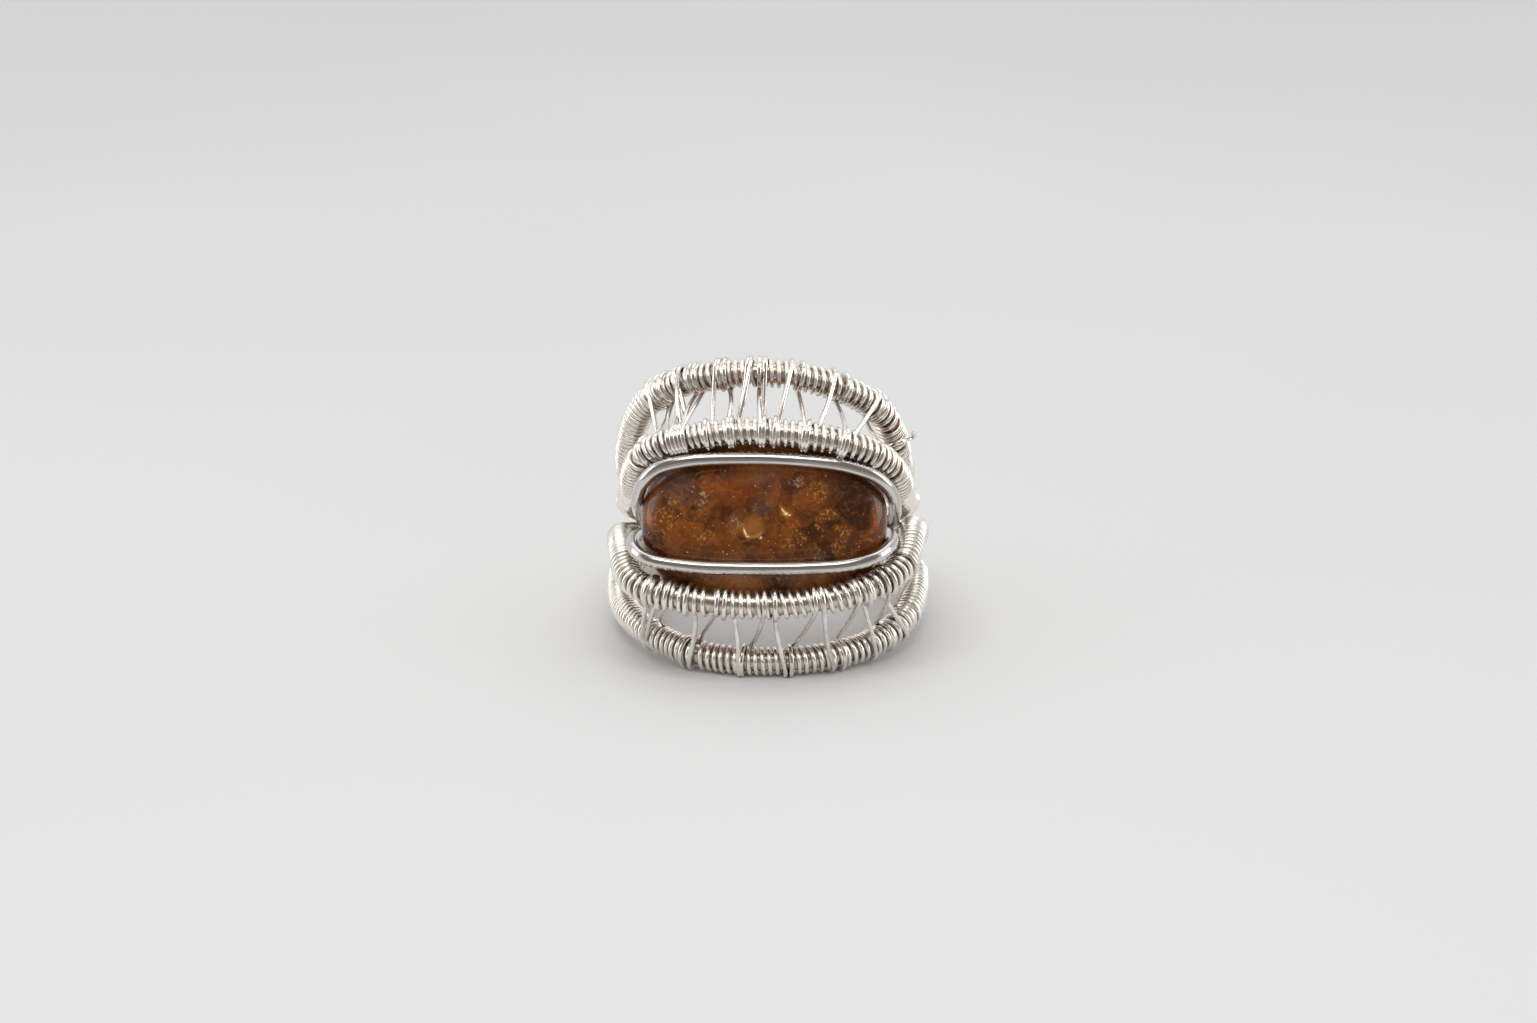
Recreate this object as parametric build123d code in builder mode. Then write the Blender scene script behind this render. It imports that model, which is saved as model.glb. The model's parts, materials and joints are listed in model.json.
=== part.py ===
from build123d import *
from collections import namedtuple
from math import atan2, cos, degrees, pi, radians, sin, sqrt, tan
import os

# A finger ring of coiled and plain wire round an oblong bronzite stone, in millimetres.
# It is modelled upright, with the finger along Z and the stone facing -Y, and then leaned over
# onto its lowest rail and the back of its band, as it lies on a table.

# Sizes of the finger hole, the wires and the stone
finger_diameter = 17.3
core_wire = 1.44
wrap_wire = 0.33
bezel_wire = 0.94
wire_gap = 0.06
stone_length = 17.4
stone_height = 13.2
stone_thickness = 5.6
stone_gap = 0.08

# Where the stone sits: its middle from the ring's middle, and how far its right end is turned up
stone_shift = -0.25
stone_drop = 0.43
stone_turn = 2.7

# How far the outer rails stand from the ring's middle, above and below
upper_outer_rise = 10.15
lower_outer_drop = 10.4

# Heights at which the other wires cross the stone's face, as shares of half its height
upper_rail_seat = 0.945
upper_bezel_seat = 0.665
lower_bezel_seat = 0.505
lower_rail_seat = 0.895

# The band at the back: its middle below the ring's middle, the angle each side of the very back
# that is a true arc, the straight run at each end of it, and the bindings on it
band_drop = 0.5
band_half_angle = 50
band_run = 2.2
binding_angle = 40
binding_width = 2.2

coil_diameter = core_wire + 2 * wrap_wire
finger_radius = finger_diameter / 2
bezel_radius = finger_radius + wrap_wire + wire_gap + bezel_wire / 2
rail_radius = bezel_radius + (bezel_wire + coil_diameter) / 2 + wire_gap
bezel_reach = max(stone_length / 2, finger_radius) + stone_gap + bezel_wire / 2
rail_reach = bezel_reach + (bezel_wire + coil_diameter) / 2 + wire_gap
rail_pitch = coil_diameter + wire_gap
bezel_pitch = bezel_wire + wire_gap
stone_seat = finger_radius + stone_gap + stone_thickness / 2

# The wires' places in the band, from the top, in pitches from its middle
RAIL_STEPS = [1.5, 0.5, -0.5, -1.5]
BEZEL_STEPS = [0.5, -0.5]

Section = namedtuple("Section", "along height thickness")
Bend = namedtuple("Bend", "across out up")

# The stone's sections, as shares of half its length, height and thickness
STONE_SECTIONS = [
    Section(-1.00, 0.14, 0.18),
    Section(-0.94, 0.39, 0.43),
    Section(-0.79, 0.66, 0.69),
    Section(-0.50, 0.89, 0.90),
    Section(0.00, 1.00, 1.00),
    Section(0.50, 0.89, 0.90),
    Section(0.79, 0.66, 0.69),
    Section(0.94, 0.39, 0.43),
    Section(1.00, 0.14, 0.18),
]

# The bends of each wire from its left side over the front to its right side, as shares of the
# half width that it spans, of its depth in front of the finger's axis and of its height in front
UPPER_OUTER_BENDS = [
    Bend(-0.95, -0.13, 0.33),
    Bend(-0.94, 0.15, 0.46),
    Bend(-0.90, 0.40, 0.65),
    Bend(-0.80, 0.62, 0.82),
    Bend(-0.60, 0.82, 0.93),
    Bend(-0.29, 0.97, 0.99),
    Bend(0.04, 1.00, 1.00),
    Bend(0.35, 0.95, 0.94),
    Bend(0.61, 0.80, 0.84),
    Bend(0.79, 0.60, 0.70),
    Bend(0.86, 0.35, 0.52),
    Bend(0.88, 0.08, 0.39),
    Bend(0.91, -0.20, 0.34),
]
UPPER_INNER_BENDS = [
    Bend(-0.95, -0.13, 0.20),
    Bend(-0.91, 0.15, 0.22),
    Bend(-0.89, 0.41, 0.30),
    Bend(-0.89, 0.62, 0.48),
    Bend(-0.84, 0.80, 0.71),
    Bend(-0.68, 0.93, 0.87),
    Bend(-0.38, 1.00, 0.98),
    Bend(-0.03, 1.02, 1.02),
    Bend(0.33, 1.03, 0.94),
    Bend(0.60, 0.98, 0.82),
    Bend(0.78, 0.86, 0.65),
    Bend(0.87, 0.67, 0.44),
    Bend(0.87, 0.43, 0.27),
    Bend(0.89, 0.16, 0.23),
    Bend(0.95, -0.13, 0.21),
]
UPPER_BEZEL_BENDS = [
    Bend(-1.00, -0.11, -0.05),
    Bend(-0.99, 0.24, -0.09),
    Bend(-0.98, 0.58, -0.02),
    Bend(-1.01, 0.77, 0.18),
    Bend(-0.99, 0.90, 0.49),
    Bend(-0.87, 0.96, 0.84),
    Bend(-0.58, 1.00, 0.98),
    Bend(-0.19, 1.01, 1.01),
    Bend(0.21, 1.01, 0.98),
    Bend(0.57, 1.00, 0.89),
    Bend(0.84, 0.95, 0.69),
    Bend(0.97, 0.87, 0.36),
    Bend(0.98, 0.72, 0.10),
    Bend(0.98, 0.49, -0.07),
    Bend(0.99, 0.21, -0.09),
    Bend(1.00, -0.11, -0.05),
]
LOWER_BEZEL_BENDS = [
    Bend(-1.00, -0.11, 0.32),
    Bend(-0.97, 0.23, 0.36),
    Bend(-0.97, 0.56, 0.36),
    Bend(-1.04, 0.76, 0.42),
    Bend(-1.05, 0.87, 0.63),
    Bend(-0.91, 0.94, 0.86),
    Bend(-0.55, 1.00, 0.98),
    Bend(-0.16, 1.01, 1.00),
    Bend(0.23, 1.01, 1.00),
    Bend(0.60, 0.99, 0.95),
    Bend(0.84, 0.94, 0.80),
    Bend(0.96, 0.84, 0.53),
    Bend(0.95, 0.69, 0.38),
    Bend(0.93, 0.48, 0.35),
    Bend(0.97, 0.21, 0.36),
    Bend(1.00, -0.11, 0.32),
]
LOWER_INNER_BENDS = [
    Bend(-1.00, -0.15, 0.25),
    Bend(-0.99, 0.14, 0.27),
    Bend(-0.97, 0.43, 0.34),
    Bend(-0.95, 0.64, 0.48),
    Bend(-0.93, 0.80, 0.68),
    Bend(-0.81, 0.92, 0.83),
    Bend(-0.53, 0.99, 0.94),
    Bend(-0.20, 1.01, 1.00),
    Bend(0.14, 1.01, 1.00),
    Bend(0.46, 0.99, 0.92),
    Bend(0.71, 0.91, 0.79),
    Bend(0.88, 0.78, 0.60),
    Bend(0.94, 0.60, 0.38),
    Bend(0.96, 0.38, 0.19),
    Bend(0.99, 0.14, 0.16),
    Bend(1.00, -0.15, 0.25),
]
LOWER_OUTER_BENDS = [
    Bend(-1.00, -0.29, 0.385),
    Bend(-1.00, -0.03, 0.54),
    Bend(-0.96, 0.27, 0.66),
    Bend(-0.85, 0.53, 0.77),
    Bend(-0.68, 0.74, 0.87),
    Bend(-0.45, 0.90, 0.962),
    Bend(-0.15, 0.99, 0.997),
    Bend(0.15, 0.99, 0.997),
    Bend(0.45, 0.90, 0.962),
    Bend(0.68, 0.75, 0.89),
    Bend(0.85, 0.57, 0.78),
    Bend(0.96, 0.30, 0.64),
    Bend(1.00, 0.02, 0.51),
    Bend(1.00, -0.27, 0.38),
]


def stone_height_at(seat):
    """The height above the ring's middle of a share of half the stone's height."""
    return seat * stone_height / 2 - stone_drop


def seat_depth(seat, wire):
    """How far in front of the finger's axis a wire lies where it crosses the stone's face."""
    room = stone_gap + wire / 2
    across = seat * stone_height / 2 / (stone_height / 2 + room)
    return stone_seat + (stone_thickness / 2 + room) * sqrt(1 - across**2)


def band_height(steps, pitch):
    """The height of a wire in the band at the back, in steps of a pitch from its middle."""
    return -band_drop + steps * pitch


def wire_corners(bends, reach, depth, height, band_radius, band_z):
    """The corners of a wire's route from the end of the band's arc on the left to the right."""
    side = radians(180 - band_half_angle)
    end = Vector(band_radius * sin(side), -band_radius * cos(side), band_z)
    run = Vector(-cos(side), -sin(side), 0) * band_run
    front = [Vector(reach * bend.across, -depth * bend.out, height * bend.up) for bend in bends]
    left_end = Vector(-end.X, end.Y, end.Z)
    left_run = Vector(-run.X, run.Y, run.Z)
    return [left_end, left_end + left_run] + front + [end + run, end]


def bend_radii(corners):
    """The largest radius at each corner that leaves the middle of its runs straight."""
    radii = []
    for before, corner, after in zip(corners, corners[1:], corners[2:]):
        arrive = corner - before
        leave = after - corner
        half_turn = radians(arrive.get_angle(leave)) / 2
        radii.append(0.45 * min(arrive.length, leave.length) / tan(half_turn))
    return radii


def wire_loop(name, diameter, corners, band_radius):
    """A closed loop of round wire through the corners and round the back of the band."""
    radii = bend_radii(corners)
    with BuildPart() as loop:
        with BuildLine() as front:
            FilletPolyline(*corners, radius=radii)
        with BuildSketch(Plane(origin=front.wire() @ 0, z_dir=front.wire() % 0)):
            Circle(diameter / 2)
        sweep(path=front.wire())
        with BuildLine() as back:
            ThreePointArc(corners[-1], (0, band_radius, corners[0].Z), corners[0])
        with BuildSketch(Plane(origin=back.wire() @ 0, z_dir=back.wire() % 0)):
            Circle(diameter / 2)
        sweep(path=back.wire())
    length = front.wire().length + back.wire().length
    solid = loop.part.volume / (pi * diameter**2 / 4)
    print(f"{name}: route {length:.2f}, volume over section {solid:.2f}, tightest bend {min(radii):.1f}")
    return loop


def rail(name, bends, depth, height, steps):
    """A coiled rail, as a wire of the coil's outer diameter."""
    corners = wire_corners(bends, rail_reach, depth, height, rail_radius, band_height(steps, rail_pitch))
    return wire_loop(name, coil_diameter, corners, rail_radius)


def bezel(name, bends, depth, height, steps):
    """A plain polished wire across the stone's face."""
    corners = wire_corners(bends, bezel_reach, depth, height, bezel_radius, band_height(steps, bezel_pitch))
    return wire_loop(name, bezel_wire, corners, bezel_radius)


def band_circles(room):
    """Circles round the band's six wires in its section, each grown by some room."""
    rails = [(rail_radius, band_height(steps, rail_pitch), coil_diameter) for steps in RAIL_STEPS]
    bezels = [(bezel_radius, band_height(steps, bezel_pitch), bezel_wire) for steps in BEZEL_STEPS]
    return [CenterArc((out, up), wire / 2 + room, 0, 360).edge() for out, up, wire in rails + bezels]


def binding(angle):
    """The turns of fine wire round the band, as one sleeve, at an angle from the ring's front."""
    arc = degrees(binding_width / rail_radius)
    start = radians(angle - arc / 2)
    outwards = Vector(sin(start), -cos(start), 0)
    outside = band_circles(wire_gap + wrap_wire)
    inside = band_circles(wire_gap)
    with BuildPart() as sleeve:
        with BuildSketch(Plane(origin=(0, 0, 0), x_dir=outwards, z_dir=outwards.cross(Vector(0, 0, 1)))):
            make_hull(outside)
            make_hull(inside, mode=Mode.SUBTRACT)
        revolve(axis=Axis.Z, revolution_arc=arc)
    return sleeve


# The stone, lofted through its sections from the left end to the right
turned = radians(stone_turn)
stone_middle = Plane(
    origin=(stone_shift, -stone_seat, -stone_drop),
    x_dir=(0, 1, 0),
    z_dir=(cos(turned), 0, sin(turned)),
)
with BuildPart() as stone:
    for section in STONE_SECTIONS:
        with BuildSketch(stone_middle.offset(section.along * stone_length / 2)):
            Ellipse(section.thickness * stone_thickness / 2, section.height * stone_height / 2)
    loft()

# The wires, from the top of the ring to the bottom
upper_outer_rail = rail("upper_outer_rail", UPPER_OUTER_BENDS, rail_radius, upper_outer_rise, RAIL_STEPS[0])
upper_inner_rail = rail(
    "upper_inner_rail",
    UPPER_INNER_BENDS,
    seat_depth(upper_rail_seat, coil_diameter),
    stone_height_at(upper_rail_seat),
    RAIL_STEPS[1],
)
upper_bezel_wire = bezel(
    "upper_bezel_wire",
    UPPER_BEZEL_BENDS,
    seat_depth(upper_bezel_seat, bezel_wire),
    stone_height_at(upper_bezel_seat),
    BEZEL_STEPS[0],
)
lower_bezel_wire = bezel(
    "lower_bezel_wire",
    LOWER_BEZEL_BENDS,
    seat_depth(lower_bezel_seat, bezel_wire),
    stone_height_at(-lower_bezel_seat),
    BEZEL_STEPS[1],
)
lower_inner_rail = rail(
    "lower_inner_rail",
    LOWER_INNER_BENDS,
    seat_depth(lower_rail_seat, coil_diameter),
    stone_height_at(-lower_rail_seat),
    RAIL_STEPS[2],
)
lower_outer_rail = rail("lower_outer_rail", LOWER_OUTER_BENDS, rail_radius, -lower_outer_drop, RAIL_STEPS[3])

# The bindings that tie the band, one each side of its back
left_binding = binding(binding_angle - 180)
right_binding = binding(180 - binding_angle)

pieces = {
    "stone": stone,
    "upper_outer_rail": upper_outer_rail,
    "upper_inner_rail": upper_inner_rail,
    "upper_bezel_wire": upper_bezel_wire,
    "lower_bezel_wire": lower_bezel_wire,
    "lower_inner_rail": lower_inner_rail,
    "lower_outer_rail": lower_outer_rail,
    "left_binding": left_binding,
    "right_binding": right_binding,
}

# The ring rests on the front of its lowest rail and on the same rail at the back of the band, so
# it leans over by the slope between the two, with its box's bottom centre at the origin
lowest_bend = max(LOWER_OUTER_BENDS, key=lambda bend: bend.up)
rest_rise = band_height(RAIL_STEPS[3], rail_pitch) + lower_outer_drop * lowest_bend.up
rest_span = rail_radius * (1 + lowest_bend.out)
lean = degrees(atan2(rest_rise, rest_span))
for piece in pieces.values():
    piece.part.move(Location((0, 0, 0), (-lean, 0, 0)))
box = stone.part.bounding_box()
for piece in pieces.values():
    box = box.add(piece.part.bounding_box())
to_table = Location((-box.center().X, -box.center().Y, -box.min.Z))

os.makedirs("parts", exist_ok=True)
for name, piece in pieces.items():
    piece.part.move(to_table)
    piece.part.label = name
    export_step(piece.part, f"parts/{name}.step")

print(f"lean {lean:.2f} degrees, finger axis through {to_table.position}")
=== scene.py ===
"""The wire-wrapped bronzite ring, dressed for its portrait.

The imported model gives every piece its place. The wires' routes are read from its nodes, and wire is
then wound, laced and drawn along them. Sizes are in millimetres, in the ring's own frame: the finger
along Z, the stone facing -Y. to_table() leans that frame over as the ring lies, in metres.
"""

import json
from collections import namedtuple
from functools import partial
from math import cos, pi, radians, sin, tau

import bpy
import numpy as np
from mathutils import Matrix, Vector

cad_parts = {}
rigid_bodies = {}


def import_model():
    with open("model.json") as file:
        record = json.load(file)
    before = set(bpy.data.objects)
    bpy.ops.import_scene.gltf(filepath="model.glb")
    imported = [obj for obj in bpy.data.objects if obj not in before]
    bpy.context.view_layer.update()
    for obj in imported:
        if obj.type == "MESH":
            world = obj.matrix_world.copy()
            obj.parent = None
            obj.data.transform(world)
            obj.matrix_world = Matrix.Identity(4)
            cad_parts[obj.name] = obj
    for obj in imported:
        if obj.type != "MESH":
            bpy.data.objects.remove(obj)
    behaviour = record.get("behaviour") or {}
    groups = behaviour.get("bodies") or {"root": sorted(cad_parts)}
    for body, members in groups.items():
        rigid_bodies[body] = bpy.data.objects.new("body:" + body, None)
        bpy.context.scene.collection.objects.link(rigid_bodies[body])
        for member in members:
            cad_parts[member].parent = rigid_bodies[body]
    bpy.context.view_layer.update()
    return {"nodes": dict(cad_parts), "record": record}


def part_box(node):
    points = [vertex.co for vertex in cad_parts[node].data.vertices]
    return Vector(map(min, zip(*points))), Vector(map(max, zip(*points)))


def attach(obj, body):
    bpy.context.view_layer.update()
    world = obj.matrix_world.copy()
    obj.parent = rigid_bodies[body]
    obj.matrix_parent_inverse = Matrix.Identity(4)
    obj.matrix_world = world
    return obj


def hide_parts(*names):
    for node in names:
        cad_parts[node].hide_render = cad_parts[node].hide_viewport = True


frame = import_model()

MM = 0.001

# The ring's own frame, from the finger hole that the record states
finger_hole = frame["record"]["mounts"][0]
ring_middle = np.array(finger_hole["pos_m"])
finger_axis = np.array(finger_hole["axis"]) / np.linalg.norm(finger_hole["axis"])
ring_axes = np.array([(1, 0, 0), (0, finger_axis[2], -finger_axis[1]), finger_axis])
ring_lean = np.arctan2(finger_axis[1], finger_axis[2])

# The wires' diameters
CORE_WIRE = 1.44
WRAP_WIRE = 0.33
BEZEL_WIRE = 0.94
LACE_WIRE = 0.34
COIL_WIRE = CORE_WIRE + 2 * WRAP_WIRE

# The stone, as the model has it
STONE_LENGTH = 17.4
STONE_HEIGHT = 13.2
STONE_THICKNESS = 5.6
STONE_TURN = radians(2.7)
STONE_FULLNESS = 2.2
STONE_DEPTH_FULLNESS = 2.3

# The spacing of the wraps on each rail, by the angle in degrees from the ring's front to its right
WRAP_ANGLES = [-180, -110, -60, -30, 0, 30, 60, 110, 180]
WRAP_PITCHES = {
    "upper_outer_rail": [0.42, 0.43, 0.44, 0.43, 0.50, 0.58, 0.60, 0.45, 0.42],
    "upper_inner_rail": [0.42, 0.42, 0.42, 0.44, 0.54, 0.54, 0.50, 0.43, 0.42],
    "lower_inner_rail": [0.42, 0.42, 0.46, 0.52, 0.60, 0.58, 0.50, 0.43, 0.42],
    "lower_outer_rail": [0.42, 0.43, 0.48, 0.48, 0.48, 0.52, 0.50, 0.43, 0.42],
}
WRAP_UNEVENNESS = 0.07
WRAP_LIFT = 0.010
WRAP_LEAN = 0.07
WRAP_LEAN_SPACING = 4
WRAP_SEED = 7

# Where the wraps part and the core shows, by the gap's middle in the photograph's pixels
WRAP_GAPS = {
    "upper_outer_rail": [
        (685, 390),
        (717, 379),
        (757, 364),
        (797, 370),
        (840, 382),
        (893, 418),
        (905, 436),
    ],
    "upper_inner_rail": [(631, 446), (893, 466)],
    "lower_inner_rail": [(706, 607)],
    "lower_outer_rail": [(700, 640), (886, 626)],
}
WRAP_GAP = 0.95

# How a lacing strand lies: its sinking into the coils, how much it bows for its length, how far round
# a rail it goes when it leaves from the front and from behind, and how far short of the second rail
# its span ends. A strand over the front of a rail is aimed anew in a few rounds for its nearness
LACE_SINK = 0.14
LACE_BOW = 0.035
LOOP_FROM_FRONT = pi
LOOP_FROM_BEHIND = 1.9 * pi
LOOP_END = 0.15
LOOP_POINTS = 20
LACE_EASE = 0.1
FRONT_SHIFT = 0.8
AIM_ROUNDS = 4

# The bindings: turns of wrap wire at an angle in degrees from the ring's front, their clearance from
# each other and from the wires that they hold, and the band's radius there
BINDING_TURNS = 6
BINDING_ANGLE = 140
BINDING_SPACE = 0.01
BINDING_CLEARANCE = 0.06
BINDING_STEPS = 24
BAND_RADIUS = 11

# The stone's colours, and the zones of its face by their place across and up and their reach, with how
# strong the colour is there
BARK = (0.066, 0.016, 0.002)
CARAMEL = (0.205, 0.053, 0.005)
COCOA = (0.040, 0.010, 0.002)
TOFFEE = (0.225, 0.060, 0.006)
APRICOT = (0.330, 0.105, 0.014)
SOOT = (0.030, 0.009, 0.003)
RUST = (0.190, 0.034, 0.002)
AMBER = (0.270, 0.066, 0.004)
HONEY = (0.180, 0.052, 0.004)
UMBER = (0.028, 0.009, 0.003)
# Smoke grey: partly the stone's own tint, partly a painted sheen of reflected light
SMOKE_AND_SHEEN = (0.125, 0.060, 0.040)
FLAME = (0.700, 0.150, 0.010)
# A painted glow of light, round the glints and where the rails shade the stone
PAINTED_GLOW = (0.440, 0.160, 0.035)
GOLD = (0.620, 0.330, 0.070)
PALE = (0.560, 0.400, 0.260)
# The painted highlight at the heart of each glint
GLINT_HIGHLIGHT = (1.000, 0.680, 0.320)
FLAKE_RIM = (0.480, 0.180, 0.030)
STRAW = (0.420, 0.240, 0.120)
BRASS = (0.400, 0.210, 0.080)
HORN = (0.460, 0.165, 0.026)
STONE_ZONES = [
    (-2.3, 1.9, 2.3, RUST, 0.75),
    (-7.2, -0.4, 1.6, AMBER, 0.28),
    # A painted glow to the left of the glints
    (-2.4, -1.0, 1.0, PAINTED_GLOW, 0.45),
    (-3.8, -2.4, 3.0, HONEY, 0.55),
    (0.8, -2.6, 2.6, HONEY, 0.45),
    # Smoke-grey zones, partly the stone's tint and partly a painted sheen
    (-6.3, 2.0, 1.9, SMOKE_AND_SHEEN, 0.75),
    (-0.4, 0.5, 1.1, SMOKE_AND_SHEEN, 0.60),
    (0.2, 2.4, 1.3, SMOKE_AND_SHEEN, 0.40),
    (6.2, 1.8, 2.6, UMBER, 0.80),
    (5.4, -2.4, 2.0, UMBER, 0.35),
    (2.2, 0.1, 0.7, UMBER, 0.45),
    (-4.5, -0.4, 0.45, UMBER, 0.60),
    (4.8, 0.3, 3.2, UMBER, 0.30),
    (7.6, -0.4, 0.42, FLAME, 0.28),
    # Painted light: the last three brighten the stone's top and bottom, where the rails shade it
    (-2.5, -5.9, 3.4, PAINTED_GLOW, 0.90),
    (3.0, -5.9, 2.6, PAINTED_GLOW, 0.75),
    (-0.5, 6.1, 4.2, PAINTED_GLOW, 0.90),
]

# Round spots in three layers, by how many there are to a millimetre, their reach, the share of them
# that is left out and their colour
SPOT_LAYERS = [
    (0.70, 0.19, 0.60, (0.022, 0.008, 0.003)),
    (2.70, 0.16, 0.50, (0.760, 0.600, 0.440)),
    (3.30, 0.18, 0.60, (0.560, 0.330, 0.150)),
]

# Patches of gold curls and of pale ones on the stone's face, by their place across and up and their
# reach. The glints are painted highlights where a flake would throw the light back; each has a place, a
# downward turn in degrees, half a length and half a width. One flake is rayed like a shell, and one
# has swirled rings
GOLD_PATCHES = [
    (-4.3, -1.5, 0.8),
    (3.5, 1.6, 1.0),
    (4.1, 0.0, 0.7),
    (1.8, -0.7, 0.7),
    (2.3, -1.6, 0.6),
    (3.6, -0.9, 0.5),
    (5.2, -1.1, 0.8),
    (1.4, -2.1, 0.6),
    (4.7, -2.2, 0.6),
    (7.1, -1.8, 0.4),
    (-7.4, -0.3, 1.3),
    (-6.6, 1.0, 0.5),
]
PALE_PATCHES = [(-2.3, -0.4, 0.6), (2.0, 2.2, 0.6), (3.7, -2.8, 0.6), (-4.7, 1.1, 0.8)]
PAINTED_GLINTS = [
    (-1.60, -1.22, 68, 0.34, 0.08),
    (-1.44, -1.50, 25, 0.14, 0.06),
    (-0.52, -1.58, -8, 0.11, 0.09),
    (1.08, 0.30, 58, 0.26, 0.10),
    (1.26, 0.08, 12, 0.20, 0.14),
    (1.52, 0.00, -20, 0.10, 0.05),
]
SHELL = (-1.05, -0.86, 0.86)
SWIRL = (-4.5, 2.3, 1.0)

# Fineness of the routes and the meshes
ROUTE_SAMPLES = 360
ROUTE_SMOOTHING = 4
WRAP_SAMPLES = 6 * ROUTE_SAMPLES
STEPS_PER_TURN = 26
WRAP_SIDES = 12
CORE_SIDES = 24
BEZEL_SIDES = 32
LACE_SIDES = 16
STONE_RINGS = 96
STONE_SPOKES = 96

# The photograph's frame: the pixel of the ring's middle, pixels per millimetre there, and the camera.
# A point deeper than FRONT_DEPTH, in millimetres, is behind the ring, and its pixel is put far away
PHOTO_WIDTH = 1537
PHOTO_HEIGHT = 1023
MIDDLE_PX = 768
MIDDLE_PY = 515
PX_PER_MM = 13.6
CAMERA_DISTANCE = 314
CAMERA_LENS = 100
CAMERA_SENSOR = 36
FRONT_DEPTH = 1
OUT_OF_SIGHT = 1e4

Strand = namedtuple("Strand", "top_px top_py foot_px foot_py over_top over_foot")

# Lacing strands between the outer and inner rails, by their ends in the photograph's pixels, and
# whether each passes over the front of the rail at its top and at its foot
UPPER_STRANDS = [
    Strand(650, 392, 644, 438, True, False),
    Strand(662, 405, 655, 432, False, True),
    Strand(670, 398, 667, 426, False, True),
    Strand(674, 395, 671, 426, False, True),
    Strand(681, 384, 676, 424, True, False),
    Strand(677, 386, 680, 424, True, False),
    Strand(699, 392, 680, 423, False, True),
    Strand(702, 392, 683, 424, False, True),
    Strand(716, 369, 706, 417, True, False),
    Strand(724, 385, 728, 418, False, True),
    Strand(728, 385, 727, 418, False, True),
    Strand(747, 364, 730, 420, True, False),
    Strand(751, 364, 733, 420, True, False),
    Strand(760, 366, 761, 418, False, True),
    Strand(764, 365, 766, 418, True, False),
    Strand(794, 363, 775, 419, True, False),
    Strand(799, 387, 805, 420, False, True),
    Strand(836, 370, 808, 424, True, False),
    Strand(838, 395, 845, 426, False, True),
    Strand(882, 395, 849, 426, True, False),
    Strand(868, 416, 881, 449, False, True),
]
LOWER_STRANDS = [
    Strand(646, 606, 652, 629, False, True),
    Strand(658, 610, 655, 629, False, True),
    Strand(663, 610, 659, 629, True, False),
    Strand(687, 615, 690, 662, False, True),
    Strand(718, 612, 692, 645, True, False),
    Strand(726, 614, 740, 655, False, True),
    Strand(764, 619, 745, 650, True, False),
    Strand(774, 614, 784, 665, False, True),
    Strand(817, 614, 788, 649, True, False),
    Strand(823, 596, 834, 662, True, True),
    Strand(862, 606, 834, 638, True, False),
    Strand(866, 599, 874, 651, False, True),
    Strand(889, 598, 872, 621, True, False),
    Strand(892, 596, 900, 626, False, True),
    Strand(917, 573, 899, 610, True, False),
]

# The cut end of a strand at the right of the upper outer rail: pixels of the photograph, and how far
# in front of the rail's middle the wire is there, in millimetres
CUT_END = [
    (884, 449, 0.3),
    (889, 446.5, 1.15),
    (896, 443.5, 1.25),
    (903, 441, 1.15),
    (908, 439.5, 0.8),
    (912.5, 438, 0.7),
    (914.5, 435, 0.65),
    (912.5, 432.5, 0.65),
]


def to_table(points):
    """Points of the ring's own frame, in millimetres, as they lie on the table, in metres."""
    return ring_middle + MM * (np.asarray(points, float) @ ring_axes)


def from_table(points):
    """Points on the table, in metres, back in the ring's own frame, in millimetres."""
    return (np.asarray(points, float) - ring_middle) @ ring_axes.T / MM


def to_photo(points):
    """Where points of the ring's own frame fall in the photograph, in its pixels."""
    scale = PX_PER_MM * CAMERA_DISTANCE / (CAMERA_DISTANCE + points[:, 1])
    return np.stack((MIDDLE_PX + scale * points[:, 0], MIDDLE_PY - scale * points[:, 2]), axis=1)


def seen_from_front(route):
    """Where a route's front points fall in the photograph, with those behind the ring put far away."""
    return to_photo(route) + OUT_OF_SIGHT * (route[:, 1:2] > FRONT_DEPTH)


def outwards(angle):
    """The direction out from the finger's axis at an angle from the ring's front."""
    return np.array((sin(angle), -cos(angle), 0))


def centreline(node):
    """A wire's centreline once round the ring from its back, by the middles of its sections."""
    mesh = frame["nodes"][node].data
    corners = np.empty(3 * len(mesh.vertices))
    mesh.vertices.foreach_get("co", corners)
    points = from_table(corners.reshape(-1, 3))
    mesh.calc_loop_triangles()
    triangles = np.empty(3 * len(mesh.loop_triangles), int)
    mesh.loop_triangles.foreach_get("vertices", triangles)
    faces = points[triangles.reshape(-1, 3)]
    starts = faces.reshape(-1, 3)
    ends = np.roll(faces, -1, axis=1).reshape(-1, 3)
    route = []
    for angle in np.linspace(pi, pi + tau, ROUTE_SAMPLES, endpoint=False):
        section = np.array((cos(angle), sin(angle), 0))
        before = starts @ section
        after = ends @ section
        cut = (before < 0) != (after < 0)
        share = (before[cut] / (before[cut] - after[cut]))[:, None]
        hits = starts[cut] + (ends[cut] - starts[cut]) * share
        reach = hits @ outwards(angle)
        hits = hits[reach > 0]
        reach = reach[reach > 0]
        middle = outwards(angle) * (reach.min() + reach.max()) / 2
        middle[2] = (hits[:, 2].min() + hits[:, 2].max()) / 2
        route.append(middle)
    route = np.array(route)
    for _ in range(ROUTE_SMOOTHING):
        route = (np.roll(route, 1, axis=0) + 2 * route + np.roll(route, -1, axis=0)) / 4
    return route


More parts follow.
